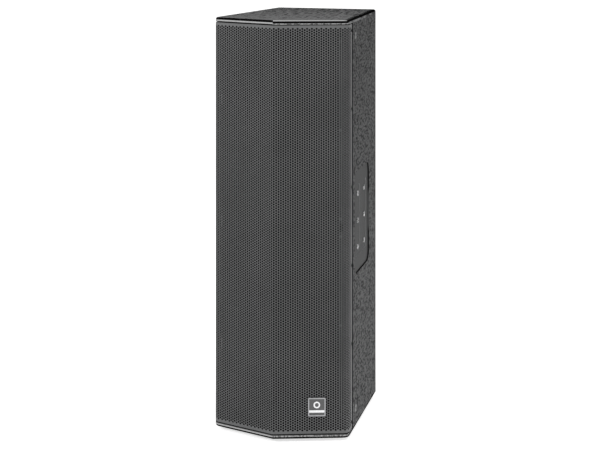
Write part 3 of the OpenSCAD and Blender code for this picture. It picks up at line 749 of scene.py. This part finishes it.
# Each side of the sheet is drawn in two meshes that meet edge to edge
for half, side in (("left", -1), ("right", 1)):
    points, front = perforated_half(0 if side > 0 else 1)
    split = COLUMN_STEP * COLUMNS / 2
    inner = [sum(points[v][0] for v in loop) / len(loop) < split for loop in front]
    for part, wanted in (("inner", True), ("outer", False)):
        chosen = [loop for loop, is_inner in zip(front, inner) if is_inner == wanted]
        thick_sheet("grille_" + half + "_" + part, points, chosen, side)


# ---- foam behind the grille ----

FOAM_GAP = 0.3 * MM
FOAM_T = 5 * MM
FOAM_HALF = FACE_L - BEND_R - 4 * MM
FOAM_EDGE = 4 * MM                    # width over which the foam's edge is pinched
FOAM_COLUMNS, FOAM_ROWS = 75, 190


def foam_sheet():
    """A soft folded sheet whose edges are pinched thin and whose faces wander a little."""
    low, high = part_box("grille_foam")
    us = np.linspace(-FOAM_HALF, FOAM_HALF, FOAM_COLUMNS)
    zs = np.linspace(low.z, high.z, FOAM_ROWS)
    middle = SHEET_T + FOAM_GAP + FOAM_T / 2
    verts, faces = [], []
    for layer in (0, 1):
        for z in zs:
            for u in us:
                edge = min(FOAM_HALF - abs(u), z - low.z, high.z - z) / FOAM_EDGE
                full = math.sqrt(max(0.0, 1 - max(0.0, 1 - edge) ** 2))
                wander = (0.5 * MM * noise.noise(Vector((u, z, layer)) * 22)
                          + 0.2 * MM * noise.noise(Vector((u, z, 5)) * 120))
                half_t = (FOAM_T / 2 - 0.4 * MM) * (0.25 + 0.75 * full)
                depth = middle + (half_t if layer else -half_t) + wander * full * (1 if layer else 0.3)
                x, y, _ = sheet_point(abs(u), z, depth)
                verts.append((math.copysign(x, u) if abs(u) > TINY else 0.0, y, z))
    nu, nz = len(us), len(zs)
    n = nu * nz
    for j in range(nz - 1):
        for i in range(nu - 1):
            a = j * nu + i
            faces.append((a, a + 1, a + nu + 1, a + nu))
            faces.append((n + a, n + a + nu, n + a + nu + 1, n + a + 1))
    border = list(range(nu)) + [j * nu + nu - 1 for j in range(1, nz)]
    border += [(nz - 1) * nu + i for i in range(nu - 2, -1, -1)] + [j * nu for j in range(nz - 2, 0, -1)]
    for k, b in enumerate(border):
        a = border[k - 1]
        faces.append((b, a, a + n, b + n))
    return add_mesh("grille_foam_sheet", verts, faces, 60, recalculate=True)


cabinet_piece(foam_sheet(), "grille_foam", "grille_foam")


# ---- woofer surrounds and spiders ----

SEAT_R, CONE_R, NECK_R = 85 * MM, 74 * MM, 19.3 * MM
SURROUND_H, SHELF_H = 2.0 * MM, -40 * MM
SPIDER_END, SPIDER_WAVES = 50 * MM, 6
ROLL_STEPS, WAVE_STEPS = 28, 10


def thick_line(points, thickness):
    """Closed outline of a line of (radius, height) points, thickness deep, square to the line."""
    pts = np.array(points)
    ahead = np.gradient(pts, axis=0)
    ahead /= np.linalg.norm(ahead, axis=1)[:, None]
    across = np.stack([-ahead[:, 1], ahead[:, 0]], axis=1) * thickness / 2
    return [tuple(p) for p in pts + across] + [tuple(p) for p in (pts - across)[::-1]]


def surround_line():
    """Half roll with a glued lip inside and a beaded flange outside."""
    middle, roll = (SEAT_R + CONE_R) / 2 + 0.1 * MM, (SEAT_R - CONE_R) / 2 - 0.5 * MM
    line = [(CONE_R - 2.5 * MM + k * 0.5 * MM, 1.9 * MM) for k in range(6)]
    for k in range(ROLL_STEPS + 1):
        a = math.pi * k / ROLL_STEPS
        line.append((middle - roll * math.cos(a), SURROUND_H + roll * math.sin(a)))
    for k in range(14):
        bead = 0.5 * MM if k in (9, 10) else 0.0
        line.append((SEAT_R + 0.5 * MM + k * 0.4 * MM, SURROUND_H + bead))
    return line


def spider_line():
    """A short collar on the former, round corrugations and a flat glued rim."""
    start = NECK_R + 0.4 * MM
    line = [(start, SHELF_H + 3.4 * MM - k * 0.5 * MM) for k in range(5)]
    steps = SPIDER_WAVES * WAVE_STEPS
    for k in range(steps + 1):
        t = k / steps
        ripple = 1.1 * MM * math.cos(2 * math.pi * SPIDER_WAVES * t) * (1 - 0.35 * t)
        line.append((start + 0.5 * MM + (SPIDER_END - start) * t, SHELF_H + 1.6 * MM + ripple))
    line += [(SPIDER_END + 1.2 * MM + k * 0.9 * MM, SHELF_H + 0.5 * MM) for k in range(6)]
    return line


def follow_cone(obj):
    """Bakes the piece's transform into its mesh."""
    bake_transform(obj)


baffle_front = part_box("baffle")[0].y
for place in ("upper", "middle", "lower"):
    low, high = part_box(place + "_woofer_basket")
    centre = Vector(((low.x + high.x) / 2, baffle_front, (low.z + high.z) / 2))
    for part, line, thickness, slot, fixed_r, moving_r in (
            ("surround", surround_line(), 0.7 * MM, "surround_rubber", SEAT_R, CONE_R + 0.8 * MM),
            ("spider", spider_line(), 0.5 * MM, "spider_cloth", SPIDER_END, NECK_R + 1.5 * MM)):
        name = place + "_woofer_" + part
        verts, faces = revolve(thick_line(line, thickness), centre)
        soft = add_mesh(name + "_skin", verts, faces, 50, recalculate=True)
        paint(soft, MATERIALS[slot])
        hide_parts(name)
        follow_cone(soft)


# ---- wadding on the rear board ----

PAD_SWELL = 7 * MM
PAD_H = 280 * MM
PAD_INSET = 3 * MM
PAD_CELL = 10 * MM
STAPLE_X = (-0.05, 0.05)
STAPLE_Z = (0.07, 0.14, 0.21)         # heights of the rows of staples above a pad's foot
STAPLE_DIP, STAPLE_REACH = 9 * MM, 13 * MM


def slab(low, high):
    """A closed box grid, inset from its CAD box, as the start of a pad."""
    a, b = low + Vector((PAD_INSET,) * 3), high - Vector((PAD_INSET,) * 3)
    counts = [max(2, round((b[i] - a[i]) / PAD_CELL)) for i in range(3)]
    verts, faces, index = [], [], {}

    def vertex(i, j, k):
        if (i, j, k) not in index:
            index[i, j, k] = len(verts)
            verts.append(tuple(a[d] + (b[d] - a[d]) * n / counts[d] for d, n in enumerate((i, j, k))))
        return index[i, j, k]

    for d in range(3):
        e, f = (d + 1) % 3, (d + 2) % 3
        for end in (0, counts[d]):
            for m in range(counts[e]):
                for n in range(counts[f]):
                    loop = []
                    for dm, dn in ((0, 0), (1, 0), (1, 1), (0, 1)):
                        place = [0, 0, 0]
                        place[d], place[e], place[f] = end, m + dm, n + dn
                        loop.append(vertex(*place))
                    faces.append(tuple(loop if end else loop[::-1]))
    return verts, faces


def evaluated(obj):
    """A plain mesh of obj with its modifiers applied."""
    bpy.context.view_layer.update()
    graph = bpy.context.evaluated_depsgraph_get()
    return bpy.data.meshes.new_from_object(obj.evaluated_get(graph), depsgraph=graph)


def keep_result(obj):
    obj.data = evaluated(obj)
    obj.modifiers.clear()


def swell(obj, pressure=4.0, frames=20):
    """Where the pad's points go as it puffs up as cloth without gravity, each by PAD_SWELL at most."""
    scene = bpy.context.scene
    remesh = obj.modifiers.new("remesh", "REMESH")
    remesh.mode = "VOXEL"
    remesh.voxel_size = 6 * MM
    keep_result(obj)
    rest = np.array([v.co for v in obj.data.vertices])
    cloth = obj.modifiers.new("cloth", "CLOTH")
    cloth.settings.use_pressure = True
    cloth.settings.uniform_pressure_force = pressure
    cloth.settings.effector_weights.gravity = 0.0
    cloth.point_cache.frame_start = 1
    cloth.point_cache.frame_end = frames
    for f in range(1, frames + 1):
        scene.frame_set(f)
    keep_result(obj)
    scene.frame_set(1)
    moved = np.array([v.co for v in obj.data.vertices]) - rest
    length = np.linalg.norm(moved, axis=1)
    moved *= np.minimum(1.0, PAD_SWELL / np.maximum(length, TINY))[:, None]
    return rest + moved


def damping_pads():
    """Two pads of polyester wadding, puffed between rows of staples and flat against the rear board."""
    low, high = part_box("damping_pads")
    verts, faces = [], []
    for a, b in ((low, Vector((high.x, high.y, low.z + PAD_H))),
                 (Vector((low.x, low.y, high.z - PAD_H)), high)):
        v, f = slab(a, b)
        faces += [tuple(i + len(verts) for i in loop) for loop in f]
        verts += v
    pad = add_mesh("wadding_pads", verts, faces, 70, recalculate=True)
    places = swell(pad)
    staples = [Vector((x, low.y, z + dz))
               for z in (low.z, high.z - PAD_H) for dz in STAPLE_Z for x in STAPLE_X]
    for vertex, p in zip(pad.data.vertices, places):
        p = Vector(p)
        lump = 1.6 * MM * noise.noise(p * 28) + 0.8 * MM * noise.noise(p * 90)
        front = min(max((high.y - 6 * MM - p.y) / (12 * MM), 0.0), 1.0)
        near = min(math.hypot(p.x - q.x, p.z - q.z) for q in staples)
        dip = STAPLE_DIP * math.exp(-(near / STAPLE_REACH) ** 2)
        p.y += front * (dip + lump - 1.5 * MM)
        vertex.co = [min(max(p[i], low[i]), high[i]) for i in range(3)]
    fine = pad.modifiers.new("fine", "SUBSURF")
    fine.levels = fine.render_levels = 1
    keep_result(pad)
    shade(pad, 70)
    cabinet_piece(pad, "wadding", "damping_pads")


damping_pads()


# ---- stage, light and camera ----

FLOOR_HALF, FLOOR_CELLS = 90.0, 24
FLOOR_GLOW = 0.6
AMBIENT = 0.65
SENSOR_W, FOCAL_LENGTH = 36.0, 107.1
LENS_SHIFT_X, LENS_SHIFT_Y = -0.0005, -0.5558
CAMERA_PLACE = (1.3121, -4.0502, 1.3083)    # from the foot of the grille's ridge, in cabinet heights
CAMERA_TURN = 17.06


def area_light(name, place, aim, size, power):
    light = bpy.data.lights.new(name, "AREA")
    light.shape = "RECTANGLE"
    light.size = size
    light.energy = power
    obj = bpy.data.objects.new(name, light)
    obj.location = place
    obj.rotation_euler = (Vector(aim) - Vector(place)).to_track_quat("-Z", "Y").to_euler()
    obj.visible_camera = False
    bpy.context.scene.collection.objects.link(obj)


def make_stage():
    """A wide, faintly glowing floor."""
    grid = np.linspace(-FLOOR_HALF, FLOOR_HALF, FLOOR_CELLS + 1)
    verts = [(x, y, 0.0) for y in grid for x in grid]
    row = FLOOR_CELLS + 1
    faces = [(j * row + i, j * row + i + 1, (j + 1) * row + i + 1, (j + 1) * row + i)
             for j in range(FLOOR_CELLS) for i in range(FLOOR_CELLS)]
    floor = add_mesh("floor", verts, faces)
    s = Shader("floor_paint", roughness=0.9, specular=0.1)
    s.bsdf.inputs["Emission Color"].default_value = (1.0, 1.0, 1.0, 1.0)
    s.bsdf.inputs["Emission Strength"].default_value = FLOOR_GLOW
    paint(floor, s.done(s.ramp(s.noise(0.5), [(0.3, 0.88), (0.7, 0.90)])))


def make_world():
    """White to the camera, and a softer grey as a light."""
    world = bpy.data.worlds.new("studio")
    bpy.context.scene.world = world
    world.use_nodes = True
    tree = world.node_tree
    background = tree.nodes["Background"]
    background.inputs["Strength"].default_value = 1.0
    path = tree.nodes.new("ShaderNodeLightPath")
    mix = tree.nodes.new("ShaderNodeMix")
    mix.data_type = "RGBA"
    sockets = {s.identifier: s for s in mix.inputs}
    sockets["A_Color"].default_value = (AMBIENT, AMBIENT, AMBIENT, 1.0)
    sockets["B_Color"].default_value = (1.0, 1.0, 1.0, 1.0)
    tree.links.new(path.outputs["Is Camera Ray"], sockets["Factor_Float"])
    result = next(s for s in mix.outputs if s.identifier == "Result_Color")
    tree.links.new(result, background.inputs["Color"])


def make_camera():
    """A level long-lens camera to the right of the cabinet and above it, its lens shifted down onto it."""
    data = bpy.data.cameras.new("camera")
    data.sensor_width = SENSOR_W
    data.lens = FOCAL_LENGTH
    data.shift_x = LENS_SHIFT_X
    data.clip_end = 100.0
    camera = bpy.data.objects.new("camera", data)
    foot = Vector((0.0, ridge_y, bottom_low.z))
    camera.location = foot + Vector(CAMERA_PLACE) * cabinet_h
    camera.rotation_euler = (math.pi / 2, 0.0, math.radians(CAMERA_TURN))
    bpy.context.scene.collection.objects.link(camera)
    bpy.context.scene.camera = camera
    # the lens is centred again as soon as the camera is tilted or stands lower than the cabinet's top
    driver = data.driver_add("shift_y").driver
    for name, part in (("tilt", "ROT_X"), ("height", "LOC_Z")):
        variable = driver.variables.new()
        variable.name = name
        variable.type = "TRANSFORMS"
        variable.targets[0].id = camera
        variable.targets[0].transform_type = part
        variable.targets[0].transform_space = "WORLD_SPACE"
    level_and_high = f"abs(tilt - pi / 2) < 0.001 and height > {top_high.z:.4f}"
    driver.expression = f"{LENS_SHIFT_Y} if {level_and_high} else 0.0"


make_stage()
make_world()
area_light("key_light", (-2.4, -3.0, 2.2), (0, 0, mid_z), 1.6, 60)
area_light("rim_light", (2.2, -1.6, 2.4), (0.17, 0, mid_z), 0.5, 14)
area_light("floor_bounce", (0.95, 0.25, 0.1), (0.17, 0.05, 0.1), 0.3, 5)
make_camera()
bpy.context.scene.view_settings.view_transform = "Standard"
